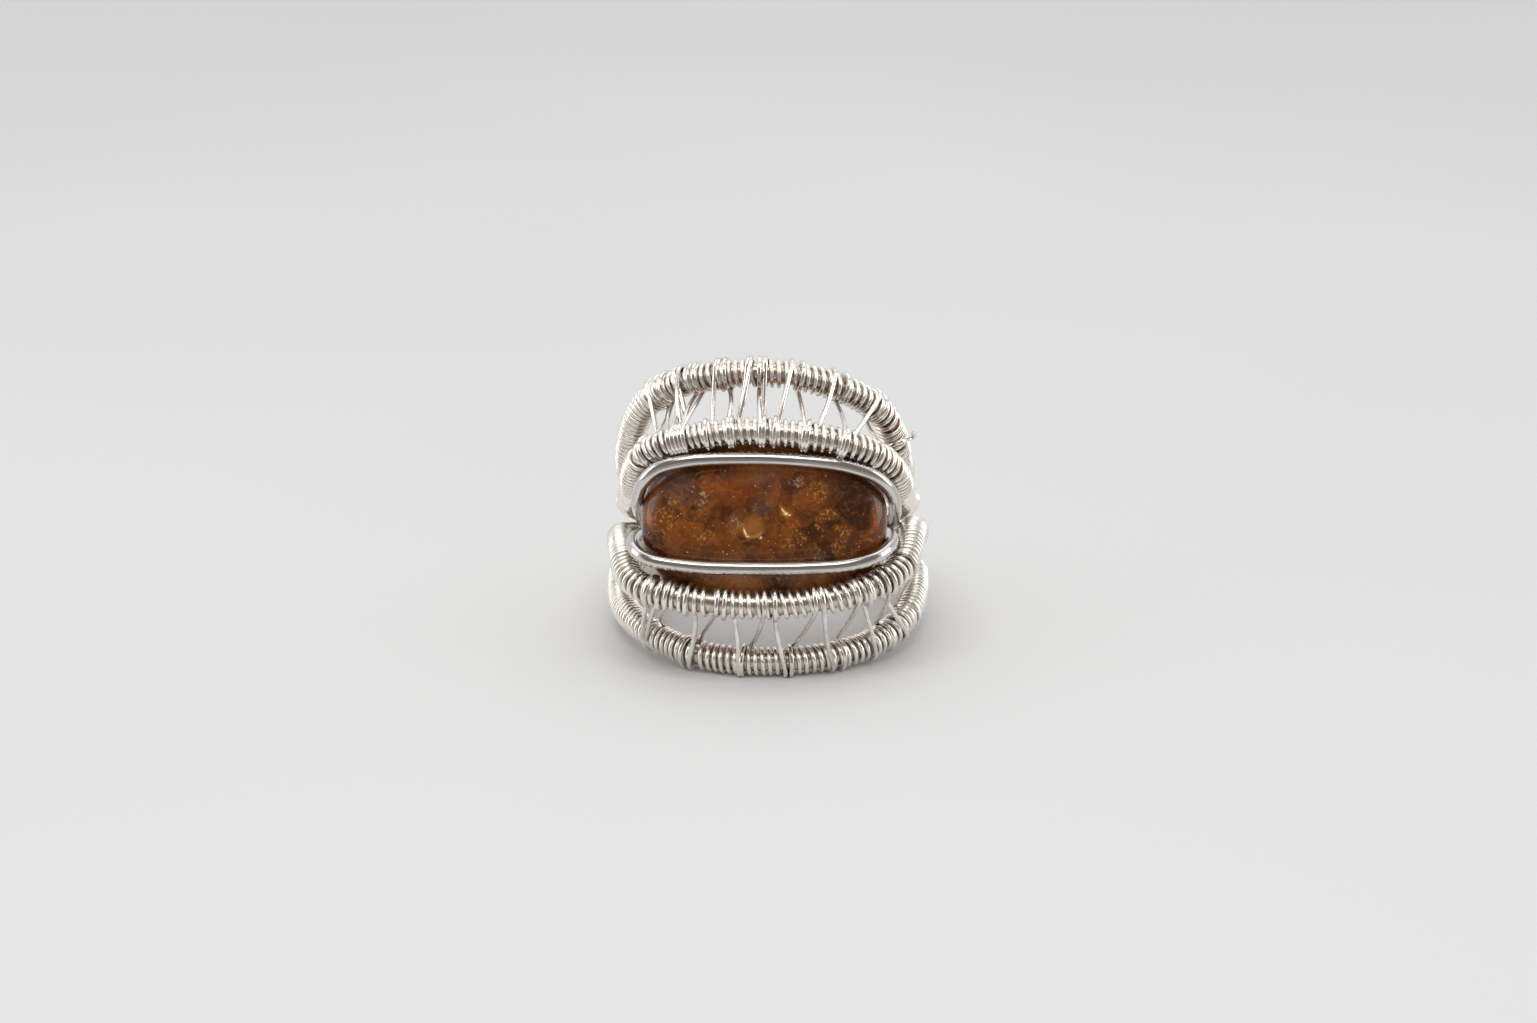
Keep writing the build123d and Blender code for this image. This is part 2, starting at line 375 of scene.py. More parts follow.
def add_node(tree, kind, inputs=(), **settings):
    """A node with its settings, its inputs linked from sockets or set to values."""
    node = tree.nodes.new(kind)
    for name, value in settings.items():
        setattr(node, name, value)
    for name, value in dict(inputs).items():
        socket = node.inputs[name]
        if isinstance(value, bpy.types.NodeSocket):
            tree.links.new(value, socket)
        else:
            socket.default_value = value
    return node


def number_math(tree, operation, first, second=0.0):
    """The result of a Math node."""
    return add_node(tree, "ShaderNodeMath", {0: first, 1: second}, operation=operation).outputs["Value"]


def vector_math(tree, operation, first, second=None):
    """The result of a Vector Math node, a number or a vector as the operation gives."""
    inputs = {0: first}
    if second is not None:
        inputs["Scale" if operation == "SCALE" else 1] = second
    node = add_node(tree, "ShaderNodeVectorMath", inputs, operation=operation)
    return node.outputs["Value" if operation in ("DISTANCE", "DOT_PRODUCT", "LENGTH") else "Vector"]


def ranged(tree, value, low, high, first=0.0, last=1.0, smooth=False):
    """A value from first at low to last at high, and held beyond them."""
    inputs = {"Value": value, "From Min": low, "From Max": high, "To Min": first, "To Max": last}
    kind = "SMOOTHSTEP" if smooth else "LINEAR"
    return add_node(tree, "ShaderNodeMapRange", inputs, interpolation_type=kind).outputs["Result"]


def new_tree(name, kind, inputs, outputs):
    """An empty node group with named inputs, each (name, socket kind, default), and outputs."""
    tree = bpy.data.node_groups.new(name, kind)
    for label, socket, default in inputs:
        item = tree.interface.new_socket(label, in_out="INPUT", socket_type=socket)
        if default is not None:
            item.default_value = default
    for label, socket in outputs:
        tree.interface.new_socket(label, in_out="OUTPUT", socket_type=socket)
    return tree, tree.nodes.new("NodeGroupInput").outputs, tree.nodes.new("NodeGroupOutput").inputs


def drawn_wire_tree():
    """Round wire along a path, which carries how far along and which way round it each point is."""
    tree, given, made = new_tree(
        "Drawn wire",
        "GeometryNodeTree",
        [
            ("Path", "NodeSocketGeometry", None),
            ("Wire Radius", "NodeSocketFloat", 0.001),
            ("Sides", "NodeSocketInt", 12),
            ("Material", "NodeSocketMaterial", None),
        ],
        [("Wire", "NodeSocketGeometry")],
    )
    curve = add_node(tree, "GeometryNodeMeshToCurve", {"Mesh": given["Path"]}).outputs["Curve"]
    length = add_node(tree, "GeometryNodeSplineParameter").outputs["Length"]
    marked = add_node(
        tree,
        "GeometryNodeStoreNamedAttribute",
        {"Geometry": curve, "Name": "along", "Value": length},
        data_type="FLOAT",
    ).outputs["Geometry"]
    circle = add_node(
        tree,
        "GeometryNodeCurvePrimitiveCircle",
        {"Resolution": given["Sides"], "Radius": given["Wire Radius"]},
    ).outputs["Curve"]
    place = add_node(tree, "GeometryNodeInputPosition").outputs["Position"]
    direction = vector_math(tree, "NORMALIZE", place)
    profile = add_node(
        tree,
        "GeometryNodeStoreNamedAttribute",
        {"Geometry": circle, "Name": "around", "Value": direction},
        data_type="FLOAT_VECTOR",
    ).outputs["Geometry"]
    tube = add_node(
        tree,
        "GeometryNodeCurveToMesh",
        {"Curve": marked, "Profile Curve": profile, "Fill Caps": True},
    ).outputs["Mesh"]
    smooth = add_node(tree, "GeometryNodeSetShadeSmooth", {"Geometry": tube}).outputs["Geometry"]
    real = add_node(tree, "GeometryNodeRealizeInstances", {"Geometry": smooth}).outputs["Geometry"]
    dressed = add_node(
        tree, "GeometryNodeSetMaterial", {"Geometry": real, "Material": given["Material"]}
    ).outputs["Geometry"]
    tree.links.new(dressed, made["Wire"])
    return tree


def wound_wire_tree(drawn_wire):
    """Fine wire wound round a path, by the turns, lift and lean that the path carries."""
    tree, given, made = new_tree(
        "Wound wire",
        "GeometryNodeTree",
        [
            ("Path", "NodeSocketGeometry", None),
            ("Winding Radius", "NodeSocketFloat", 0.001),
            ("Wire Radius", "NodeSocketFloat", 0.001),
            ("Steps", "NodeSocketInt", 1000),
            ("Sides", "NodeSocketInt", 8),
            ("Material", "NodeSocketMaterial", None),
        ],
        [("Wire", "NodeSocketGeometry")],
    )

    def carried(name):
        attribute = add_node(tree, "GeometryNodeInputNamedAttribute", {"Name": name}, data_type="FLOAT")
        return attribute.outputs["Attribute"]

    curve = add_node(tree, "GeometryNodeMeshToCurve", {"Mesh": given["Path"]}).outputs["Curve"]
    path = add_node(
        tree, "GeometryNodeResampleCurve", {"Curve": curve, "Count": given["Steps"]}, mode="COUNT"
    ).outputs["Curve"]
    tangent = add_node(tree, "GeometryNodeInputTangent").outputs["Tangent"]
    normal = add_node(tree, "GeometryNodeInputNormal").outputs["Normal"]
    angle = number_math(tree, "MULTIPLY", carried("turns"), tau)
    spoke = add_node(
        tree,
        "ShaderNodeVectorRotate",
        {"Vector": normal, "Axis": tangent, "Angle": angle},
        rotation_type="AXIS_ANGLE",
    ).outputs["Vector"]
    reach = number_math(tree, "ADD", given["Winding Radius"], carried("lift"))
    out = vector_math(tree, "SCALE", spoke, reach)
    sway = number_math(tree, "MULTIPLY", number_math(tree, "SINE", angle), carried("lean"))
    along = vector_math(tree, "SCALE", tangent, sway)
    offset = vector_math(tree, "ADD", out, along)
    wound = add_node(tree, "GeometryNodeSetPosition", {"Geometry": path, "Offset": offset})
    loose = add_node(tree, "GeometryNodeCurveToMesh", {"Curve": wound.outputs["Geometry"]})
    drawn = add_node(tree, "GeometryNodeGroup", node_tree=drawn_wire)
    for name in ("Wire Radius", "Sides", "Material"):
        tree.links.new(given[name], drawn.inputs[name])
    tree.links.new(loose.outputs["Mesh"], drawn.inputs["Path"])
    tree.links.new(drawn.outputs["Wire"], made["Wire"])
    return tree


def path_mesh(name, routes, closed, carried=None):
    """A mesh of bare edges along routes in the ring's own frame, with what its points carry."""
    vertices = []
    edges = []
    for route in routes:
        first = len(vertices)
        vertices.extend(to_table(route))
        edges.extend((i, i + 1) for i in range(first, len(vertices) - 1))
        if closed:
            edges.append((len(vertices) - 1, first))
    mesh = bpy.data.meshes.new(name)
    mesh.from_pydata(vertices, edges, [])
    for label, values in (carried or {}).items():
        mesh.attributes.new(label, "FLOAT", "POINT").data.foreach_set("value", values)
    return mesh


def made_by(tree, name, path, **inputs):
    """A plain mesh object that a tree makes from a path."""
    maker = bpy.data.objects.new(name + "_path", path)
    bpy.context.scene.collection.objects.link(maker)
    modifier = maker.modifiers.new("maker", "NODES")
    modifier.node_group = tree
    named = {item.name: item.identifier for item in tree.interface.items_tree if item.in_out == "INPUT"}
    for label, value in inputs.items():
        modifier[named[label.replace("_", " ").title()]] = value
    bpy.context.view_layer.update()
    depsgraph = bpy.context.evaluated_depsgraph_get()
    mesh = bpy.data.meshes.new_from_object(maker.evaluated_get(depsgraph), depsgraph=depsgraph)
    mesh.name = name
    bpy.data.objects.remove(maker)
    piece = bpy.data.objects.new(name, mesh)
    bpy.context.scene.collection.objects.link(piece)
    return piece


def winding(route, pitches, gaps, seed):
    """The turns of the wraps along a rail's route, and how far they lift and lean, at fine steps."""
    rng = np.random.default_rng(seed)
    closed = np.vstack((route, route[:1]))
    reach = np.concatenate(([0], np.cumsum(np.linalg.norm(np.diff(closed, axis=0), axis=1))))
    length = reach[-1]
    turned = np.degrees(np.arctan2(closed[:, 0], -closed[:, 1]))
    local = np.interp(turned, WRAP_ANGLES, pitches)
    seen = seen_from_front(closed)
    parted = [reach[np.argmin(np.linalg.norm(seen - gap, axis=1))] for gap in gaps]
    ends = [0.0]
    while ends[-1] < length:
        pitch = np.interp(ends[-1], reach, local) * rng.lognormal(0, WRAP_UNEVENNESS)
        if any(ends[-1] < gap <= ends[-1] + pitch for gap in parted):
            pitch = WRAP_GAP
        ends.append(ends[-1] + pitch)
    ends = np.array(ends) * length / ends[-1]
    steps = np.linspace(0, length, WRAP_SAMPLES)
    turns = np.interp(steps, ends, np.arange(len(ends)))
    lift = rng.exponential(WRAP_LIFT, len(ends)) * MM
    leans = rng.normal(0, WRAP_LEAN, int(length / WRAP_LEAN_SPACING)) * MM
    carried = {
        "turns": turns,
        "lift": np.interp(steps, ends, lift),
        "lean": np.interp(steps, np.linspace(0, length, len(leans)), leans),
    }
    fine = np.stack([np.interp(steps, reach, closed[:, axis]) for axis in range(3)], axis=1)
    return fine, carried, len(ends) - 1


def unit(vector):
    """A vector's direction, at length one."""
    return vector / np.linalg.norm(vector)


def squared(vector, direction):
    """The part of a vector that is square to a direction, at length one."""
    return unit(vector - direction * (vector @ direction))


def nearest(route, seen):
    """The front point of a rail's route that is nearest to a pixel of the photograph, and its run."""
    place = np.argmin(np.linalg.norm(seen_from_front(route) - seen, axis=1))
    return route[place], unit(route[(place + 1) % len(route)] - route[place - 1])


def lace(upper_route, lower_route, strand, rng):
    """A strand that comes square round one rail, spans to the next and goes square round that."""
    over = COIL_WIRE / 2 + LACE_WIRE / 2 - LACE_SINK
    viewer = np.array((0, -1.0, 0))
    aims = [
        np.array((strand.top_px, strand.top_py), float),
        np.array((strand.foot_px, strand.foot_py), float),
    ]
    sides = [1 if strand.over_top else -1, 1 if strand.over_foot else -1]
    starts = list(aims)
    for _ in range(AIM_ROUNDS):
        ends = [nearest(upper_route, starts[0]), nearest(lower_route, starts[1])]
        span = ends[1][0] - ends[0][0]
        outs = [squared(-span, ends[0][1]), squared(span, ends[1][1])]
        fronts = [squared(squared(viewer, run), out) for (_, run), out in zip(ends, outs)]
        for i, (middle, _) in enumerate(ends):
            landing = to_photo(np.array([middle, middle + over * fronts[i]]))
            starts[i] = aims[i] - (landing[1] - landing[0]) * (FRONT_SHIFT if sides[i] > 0 else 0)
    points = []
    for i, ((middle, _), out, front, side) in enumerate(zip(ends, outs, fronts, sides)):
        turns = np.linspace(LOOP_FROM_FRONT if side > 0 else LOOP_FROM_BEHIND, LOOP_END, LOOP_POINTS)
        if i:
            turns = turns[::-1]
            bow = rng.normal(0, LACE_BOW, 3) * np.linalg.norm(span)
            start = points[-1]
            finish = middle + over * side * front - out * LACE_EASE
            for share in (0.25, 0.5, 0.75):
                points.append(start + (finish - start) * share + bow * sin(pi * share))
        points.extend(middle + over * (side * front * cos(turn) + out * sin(turn)) for turn in turns)
    table = to_table(rounded(np.array(points), times=2))
    table[:, 2] = np.maximum(table[:, 2], LACE_WIRE / 2 * MM)
    return from_table(table)


def cut_end(route):
    """The wire of the cut end, which comes from inside the rail and crosses its front."""
    places = np.array(CUT_END, float)
    carriers = [nearest(route, place[:2]) for place in places]
    depth = np.array(
        [
            middle[1] - place[2] / np.sqrt(1 - run[1] ** 2)
            for (middle, run), place in zip(carriers, places)
        ]
    )
    scale = PX_PER_MM * CAMERA_DISTANCE / (CAMERA_DISTANCE + depth)
    across = (places[:, 0] - MIDDLE_PX) / scale
    up = (MIDDLE_PY - places[:, 1]) / scale
    return rounded(np.stack((across, depth, up), axis=1), times=3)


def rounded(points, times):
    """A route with its corners rounded off, a few times over."""
    for _ in range(times):
        before = points[:-1] * 0.75 + points[1:] * 0.25
        after = points[:-1] * 0.25 + points[1:] * 0.75
        middle = np.empty((2 * len(before), 3))
        middle[0::2] = before
        middle[1::2] = after
        points = np.vstack((points[:1], middle, points[-1:]))
    return points


def band_binding(routes, side):
    """Turns of fine wire round the six wires of the band, at one side of its back."""
    middle = radians(BINDING_ANGLE * side)
    pitch = (WRAP_WIRE + BINDING_SPACE) / BAND_RADIUS
    circles = []
    for route, wire in routes:
        turned = np.arctan2(route[:, 0], -route[:, 1])
        held = route[np.argmin(np.abs(turned - middle))]
        circles.append((np.hypot(held[0], held[1]), held[2], wire / 2))
    points = []
    for step in range(BINDING_STEPS * BINDING_TURNS + 1):
        facing = tau * step / BINDING_STEPS
        direction = np.array((cos(facing), sin(facing)))
        reach, height, radius = max(
            circles, key=lambda circle: circle[0] * direction[0] + circle[1] * direction[1] + circle[2]
        )
        place = np.array((reach, height)) + direction * (radius + BINDING_CLEARANCE + WRAP_WIRE / 2)
        angle = middle + pitch * (step / BINDING_STEPS - BINDING_TURNS / 2)
        points.append(outwards(angle) * place[0] + np.array((0, 0, place[1])))
    return rounded(np.array(points), times=2)


def stone_mesh():
    """The stone as one smooth closed surface, blunt at both ends, about its own middle."""
    lowest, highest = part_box("stone")
    middle = from_table([(lowest + highest) / 2])[0]
    vertices = []
    for ring in range(1, STONE_RINGS):
        turn = pi * ring / STONE_RINGS
        along = np.copysign(abs(cos(turn)) ** (2 / STONE_FULLNESS), -cos(turn))
        height, depth = (
            size / 2 * (1 - abs(along) ** fullness) ** (1 / fullness)
            for size, fullness in (
                (STONE_HEIGHT, STONE_FULLNESS),
                (STONE_THICKNESS, STONE_DEPTH_FULLNESS),
            )
        )
        for spoke in range(STONE_SPOKES):
            facing = tau * spoke / STONE_SPOKES
            vertices.append((along * STONE_LENGTH / 2, depth * cos(facing), height * sin(facing)))
    faces = []
    for ring in range(STONE_RINGS - 2):
        for spoke in range(STONE_SPOKES):
            here = ring * STONE_SPOKES + spoke
            beside = ring * STONE_SPOKES + (spoke + 1) % STONE_SPOKES
            faces.append((here, beside, beside + STONE_SPOKES, here + STONE_SPOKES))
    left = len(vertices)
    right = left + 1
    vertices.append((-STONE_LENGTH / 2, 0, 0))
    vertices.append((STONE_LENGTH / 2, 0, 0))
    last = (STONE_RINGS - 2) * STONE_SPOKES
    for spoke in range(STONE_SPOKES):
        beside = (spoke + 1) % STONE_SPOKES
        faces.append((left, beside, spoke))
        faces.append((right, last + spoke, last + beside))
    points = np.array(vertices)
    turned = points.copy()
    turned[:, 0] = points[:, 0] * cos(STONE_TURN) - points[:, 2] * sin(STONE_TURN)
    turned[:, 2] = points[:, 0] * sin(STONE_TURN) + points[:, 2] * cos(STONE_TURN)
    mesh = bpy.data.meshes.new("stone_body")
    mesh.from_pydata(to_table(turned + middle).tolist(), [], faces)
    mesh.shade_smooth()
    return mesh


# Materials


def new_material(name):
    """A material with only a Principled BSDF, and that shader."""
    material = bpy.data.materials.new(name)
    material.use_nodes = True
    return material, material.node_tree, material.node_tree.nodes["Principled BSDF"]


def mixed(tree, factor, first, second):
    """Two colours mixed by a factor."""
    node = add_node(tree, "ShaderNodeMix", data_type="RGBA")
    for socket, value in zip((node.inputs[0], node.inputs[6], node.inputs[7]), (factor, first, second)):
        if isinstance(value, bpy.types.NodeSocket):
            tree.links.new(value, socket)
        elif isinstance(value, (int, float)):
            socket.default_value = value
        else:
            socket.default_value = (*value, 1)
    return node.outputs[2]


def silver_group():
    """Silver plating: brightness that clouds over in patches, fine handling marks, and dark streaks
    along them.
    The patches are tarnish, and painted shade on the cores. The streaks are painted reflections on the
    bezels and painted shade on the cores.
    """
    tree, given, made = new_tree(
        "Silver plating",
        "ShaderNodeTree",
        [
            ("Bright", "NodeSocketColor", (0.96, 0.92, 0.855, 1)),
            ("Tarnish", "NodeSocketColor", (0.66, 0.58, 0.46, 1)),
            ("Copper", "NodeSocketColor", (0.66, 0.34, 0.17, 1)),
            ("Tarnish Share", "NodeSocketFloat", 0.3),
            ("Copper Share", "NodeSocketFloat", 0.0),
            ("Patch Scale", "NodeSocketFloat", 900),
            ("Smoothest", "NodeSocketFloat", 0.08),
            ("Roughest", "NodeSocketFloat", 0.24),
            ("Line Fineness", "NodeSocketFloat", 9.0),
            ("Line Change", "NodeSocketFloat", 300.0),
            ("Streak", "NodeSocketColor", (0.20, 0.15, 0.12, 1)),
            ("Streak Share", "NodeSocketFloat", 0.0),
        ],
        [("Color", "NodeSocketColor"), ("Roughness", "NodeSocketFloat"), ("Marks", "NodeSocketFloat")],
    )
    place = add_node(tree, "ShaderNodeTexCoord").outputs["Object"]
    patches = add_node(
        tree, "ShaderNodeTexNoise", {"Vector": place, "Scale": given["Patch Scale"], "Detail": 3.0}
    ).outputs["Fac"]
    # Patches of tarnish; on the cores the same mix is painted shade
    grime_and_shade = ranged(tree, patches, 0.48, 0.72, 0.0, given["Tarnish Share"])
    plated = mixed(tree, grime_and_shade, given["Bright"], given["Tarnish"])
    wear = add_node(
        tree, "ShaderNodeTexNoise", {"Vector": place, "Scale": 700.0, "Detail": 2.0}
    ).outputs["Fac"]
    bare = ranged(tree, wear, 0.58, 0.66, 0.0, given["Copper Share"])
    rough = ranged(tree, patches, 0.35, 0.7, given["Smoothest"], given["Roughest"])
    tree.links.new(rough, made["Roughness"])

    # Lines that a wire's drawing leaves, which change fast round it and slowly along it
    around = add_node(tree, "ShaderNodeAttribute", attribute_name="around").outputs["Vector"]
    along = add_node(tree, "ShaderNodeAttribute", attribute_name="along").outputs["Fac"]
    spread = vector_math(tree, "SCALE", around, given["Line Fineness"])
    drawn = number_math(tree, "MULTIPLY", along, given["Line Change"])
    run = add_node(tree, "ShaderNodeCombineXYZ", {"Z": drawn}).outputs["Vector"]
    lines = vector_math(tree, "ADD", spread, run)
    marks = add_node(
        tree, "ShaderNodeTexNoise", {"Vector": lines, "Scale": 1.0, "Detail": 3.0, "Roughness": 0.6}
    ).outputs["Fac"]
    tree.links.new(marks, made["Marks"])
    # Dark streaks along the lines, painted into the colour: painted reflections on the bezels, painted
    # shade on the cores
    streak = ranged(tree, marks, 0.50, 0.66, 0.0, given["Streak Share"])
    worn = mixed(tree, bare, plated, given["Copper"])
    tree.links.new(mixed(tree, streak, worn, given["Streak"]), made["Color"])
    return tree


def silver(name, group, bump=0.1, **inputs):
    """A silver wire material with its own amounts of tarnish, wear and painted shade."""
    material, tree, shader = new_material(name)
    plating = add_node(tree, "ShaderNodeGroup", node_tree=group)
    for label, value in inputs.items():
        plating.inputs[label.replace("_", " ").title()].default_value = value
    tree.links.new(plating.outputs["Color"], shader.inputs["Base Color"])
    tree.links.new(plating.outputs["Roughness"], shader.inputs["Roughness"])
    relief = add_node(
        tree,
        "ShaderNodeBump",
        {"Height": plating.outputs["Marks"], "Strength": bump, "Distance": 0.00002},
    ).outputs["Normal"]
    tree.links.new(relief, shader.inputs["Normal"])
    shader.inputs["Metallic"].default_value = 1
    return material


def bronzite():
    """Bronzite: brown and orange flakes under a glassy polish, with gold curls, specks and painted
    flashes of light.
    """
    material, tree, shader = new_material("bronzite")
    math = partial(number_math, tree)
    times = partial(number_math, tree, "MULTIPLY")
    vectors = partial(vector_math, tree)
    between = partial(ranged, tree, smooth=True)

    def noise(scale, detail=3.0, roughness=0.55, output="Fac"):
        inputs = {"Vector": place, "Scale": scale, "Detail": detail, "Roughness": roughness}
        return add_node(tree, "ShaderNodeTexNoise", inputs).outputs[output]

    def cells(scale, vector, feature="F1"):
        inputs = {"Vector": vector, "Scale": scale}
        return add_node(tree, "ShaderNodeTexVoronoi", inputs, feature=feature).outputs

    def waves(scale, vector, distortion=0.0):
        inputs = {"Vector": vector, "Scale": scale, "Distortion": distortion}
        return add_node(tree, "ShaderNodeTexWave", inputs, bands_direction="DIAGONAL").outputs["Fac"]

    def shaken(scale, reach):
        shake = vectors("SUBTRACT", noise(scale, output="Color"), (0.5, 0.5, 0.5))
        return vectors("ADD", place, vectors("SCALE", shake, reach))

    def flakes(scale, smoothness, vector, dark, pale):
        """Soft-edged flakes of their own shade that each brighten towards one side."""
        inputs = {"Vector": vector, "Scale": scale, "Smoothness": smoothness}
        cell = add_node(tree, "ShaderNodeTexVoronoi", inputs, feature="SMOOTH_F1").outputs
        inside = vectors("SUBTRACT", vectors("SCALE", vector, scale), cell["Position"])
        tilt = vectors("SUBTRACT", cell["Color"], (0.5, 0.5, 0.5))
        slope = vectors("DOT_PRODUCT", inside, tilt)
        shade = add_node(tree, "ShaderNodeSeparateColor", {"Color": cell["Color"]}).outputs[0]
        lit = math("ADD", times(slope, 1.6), shade)
        return mixed(tree, between(lit, -0.1, 1.1), dark, pale), slope

    def near(across, up, reach):
        """One at a place on the face and none beyond its reach, with a wavy edge."""
        apart = vectors("DISTANCE", vectors("MULTIPLY", loose, (1, 0, 1)), (across, 0, up))
        return between(apart, reach, reach * 0.25)

    # Millimetres of the ring's own frame
    on_table = add_node(tree, "ShaderNodeTexCoord").outputs["Object"]
    centred = add_node(tree, "ShaderNodeMapping", {"Vector": on_table})
    centred.inputs["Location"].default_value = -ring_axes @ ring_middle / MM
    centred.inputs["Rotation"].default_value = (ring_lean, 0, 0)
    centred.inputs["Scale"].default_value = (1 / MM, 1 / MM, 1 / MM)
    place = centred.outputs["Vector"]

    loose = shaken(0.7, 1.6)
    base, _ = flakes(0.52, 0.9, loose, BARK, CARAMEL)
    small, slope = flakes(1.25, 0.5, shaken(1.5, 0.45), COCOA, TOFFEE)
    base = mixed(tree, 0.42, base, small)
    for across, up, reach, colour, strength in STONE_ZONES:
        base = mixed(tree, times(near(across, up, reach), strength), base, colour)
    mottle = noise(2.8, 5.0, 0.65)
    base = mixed(tree, between(mottle, 0.50, 0.80, 0.0, 0.46), base, APRICOT)
    base = mixed(tree, between(mottle, 0.50, 0.25, 0.0, 0.60), base, SOOT)

    # Pale rims of some flakes, hairlines, and round spots, dark and pale
    edges = cells(1.15, shaken(0.9, 0.45), "DISTANCE_TO_EDGE")["Distance"]
    rims = times(between(edges, 0.10, 0.0), between(noise(0.9), 0.48, 0.66))
    base = mixed(tree, times(rims, 0.20), base, FLAKE_RIM)
    lines = waves(1.1, shaken(0.4, 0.7))
    hairs = times(between(lines, 0.86, 1.0), between(noise(0.45), 0.54, 0.66))
    base = mixed(tree, times(hairs, 0.10), base, STRAW)
    for scale, reach, share, colour in SPOT_LAYERS:
        spots = cells(scale, place)
        lot = add_node(tree, "ShaderNodeSeparateColor", {"Color": spots["Color"]}).outputs[1]
        shown = times(between(spots["Distance"], reach, reach * 0.4), between(lot, share, 1.0))
        base = mixed(tree, times(shown, 0.9), base, colour)

    # Curls in patches, gold and pale, each an arc of a small ring or a thread between rings
    rings = cells(1.9, shaken(1.8, 0.25))["Distance"]
    arcs = between(math("ABSOLUTE", math("SUBTRACT", rings, 0.34)), 0.16, 0.02)
    threads = cells(1.7, shaken(1.8, 0.35), "DISTANCE_TO_EDGE")["Distance"]
    curls = math("MAXIMUM", times(arcs, between(noise(2.9), 0.42, 0.54)), between(threads, 0.11, 0.0))
    curls = times(curls, between(noise(4.3), 0.40, 0.62))
    for spots, colour, glow in ((GOLD_PATCHES, GOLD, AMBER), (PALE_PATCHES, PALE, SMOKE_AND_SHEEN)):
        patches = 0.0
        for spot in spots:
            patches = math("MAXIMUM", patches, near(*spot))
        base = mixed(tree, times(patches, 0.30), base, glow)
        base = mixed(tree, times(times(curls, patches), 0.7), base, colour)

    # One flake rayed like a shell, with a gold brim at its foot
    flat = vectors("MULTIPLY", shaken(1.5, 0.20), (1, 0, 1))
    face = add_node(tree, "ShaderNodeSeparateXYZ", {"Vector": flat}).outputs
    across, up, reach = SHELL
    apart = vectors("DISTANCE", flat, (across, 0, up))
    rays = between(waves(2.9, flat, 4.0), 0.0, 1.0, 0.50, 0.62)
    shell = times(between(apart, reach * 1.25, reach * 0.3), rays)
    base = mixed(tree, shell, base, HORN)
    brim = between(math("ABSOLUTE", math("SUBTRACT", apart, reach * 0.78)), 0.20, 0.0)
    brim = times(brim, between(face["Z"], up - 0.1, up - 0.5))
    base = mixed(tree, times(brim, 0.42), base, GOLD)

    # One flake with rings like a thumb print, on its left side only
    across, up, reach = SWIRL
    apart = vectors("DISTANCE", flat, (across, 0, up))
    prints = between(math("SINE", times(apart, 19.0)), 0.35, 1.0)
    prints = times(prints, between(apart, reach, reach * 0.6))
    prints = times(prints, between(face["X"], across + 0.3, across - 0.2))
    prints = times(prints, between(noise(1.3), 0.44, 0.60, 0.0, 0.5))
    base = mixed(tree, prints, base, BRASS)

    # The painted glints, highlights each with a painted glow round it
    bent = vectors("MULTIPLY", shaken(2.2, 0.25), (1, 0, 1))
    for across, up, turn, length, width in PAINTED_GLINTS:
        inside = add_node(tree, "ShaderNodeMapping", {"Vector": bent}, vector_type="TEXTURE")
        inside.inputs["Location"].default_value = (across, 0, up)
        inside.inputs["Rotation"].default_value = (0, radians(turn), 0)
        inside.inputs["Scale"].default_value = (length, 1, width)
        apart = vectors("LENGTH", inside.outputs["Vector"])
        base = mixed(tree, between(apart, 2.8, 0.5, 0.0, 0.55), base, PAINTED_GLOW)
        base = mixed(tree, between(apart, 1.2, 0.3), base, GLINT_HIGHLIGHT)

    tree.links.new(base, shader.inputs["Base Color"])
    tree.links.new(between(noise(0.5), 0.3, 0.7, 0.24, 0.40), shader.inputs["Roughness"])
    relief = add_node(tree, "ShaderNodeBump", {"Height": slope, "Strength": 0.2, "Distance": 0.0001})
    tree.links.new(relief.outputs["Normal"], shader.inputs["Normal"])
    shader.inputs["Coat Weight"].default_value = 1
    shader.inputs["Coat Roughness"].default_value = 0.03
    shader.inputs["Coat IOR"].default_value = 1.34
    shader.inputs["Specular IOR Level"].default_value = 0.12
    return material


def tabletop():
    """A matt pale tabletop with the faintest cloudiness."""
    material, tree, shader = new_material("pale_tabletop")
    place = add_node(tree, "ShaderNodeTexCoord").outputs["Object"]
    clouds = add_node(tree, "ShaderNodeTexNoise", {"Vector": place, "Scale": 9.0}).outputs["Fac"]
    ramp = add_node(tree, "ShaderNodeValToRGB", {"Fac": clouds})
    dull, light = ramp.color_ramp.elements
    dull.position = 0.3
    dull.color = (0.76, 0.758, 0.755, 1)
    light.position = 0.7
    light.color = (0.79, 0.788, 0.785, 1)
    tree.links.new(ramp.outputs["Color"], shader.inputs["Base Color"])
    shader.inputs["Roughness"].default_value = 1
    shader.inputs["Specular IOR Level"].default_value = 0
    return material


# The rails' and bezels' routes, once, for all that follows them

RAILS = ("upper_outer_rail", "upper_inner_rail", "lower_inner_rail", "lower_outer_rail")
BEZELS = ("upper_bezel_wire", "lower_bezel_wire")
routes = {node: centreline(node) for node in RAILS + BEZELS}

drawn_wire = drawn_wire_tree()
wound_wire = wound_wire_tree(drawn_wire)
plating = silver_group()
wrap_silver = silver(
    "wrap_silver", plating, bump=0.02, tarnish_share=0.3, smoothest=0.20, roughest=0.36
)
lace_silver = silver(
    "lace_silver",
    plating,
    bump=0.04,
    bright=(0.90, 0.87, 0.83, 1),
    tarnish=(0.55, 0.47, 0.41, 1),
    tarnish_share=0.6,
    smoothest=0.12,
    roughest=0.26,
)
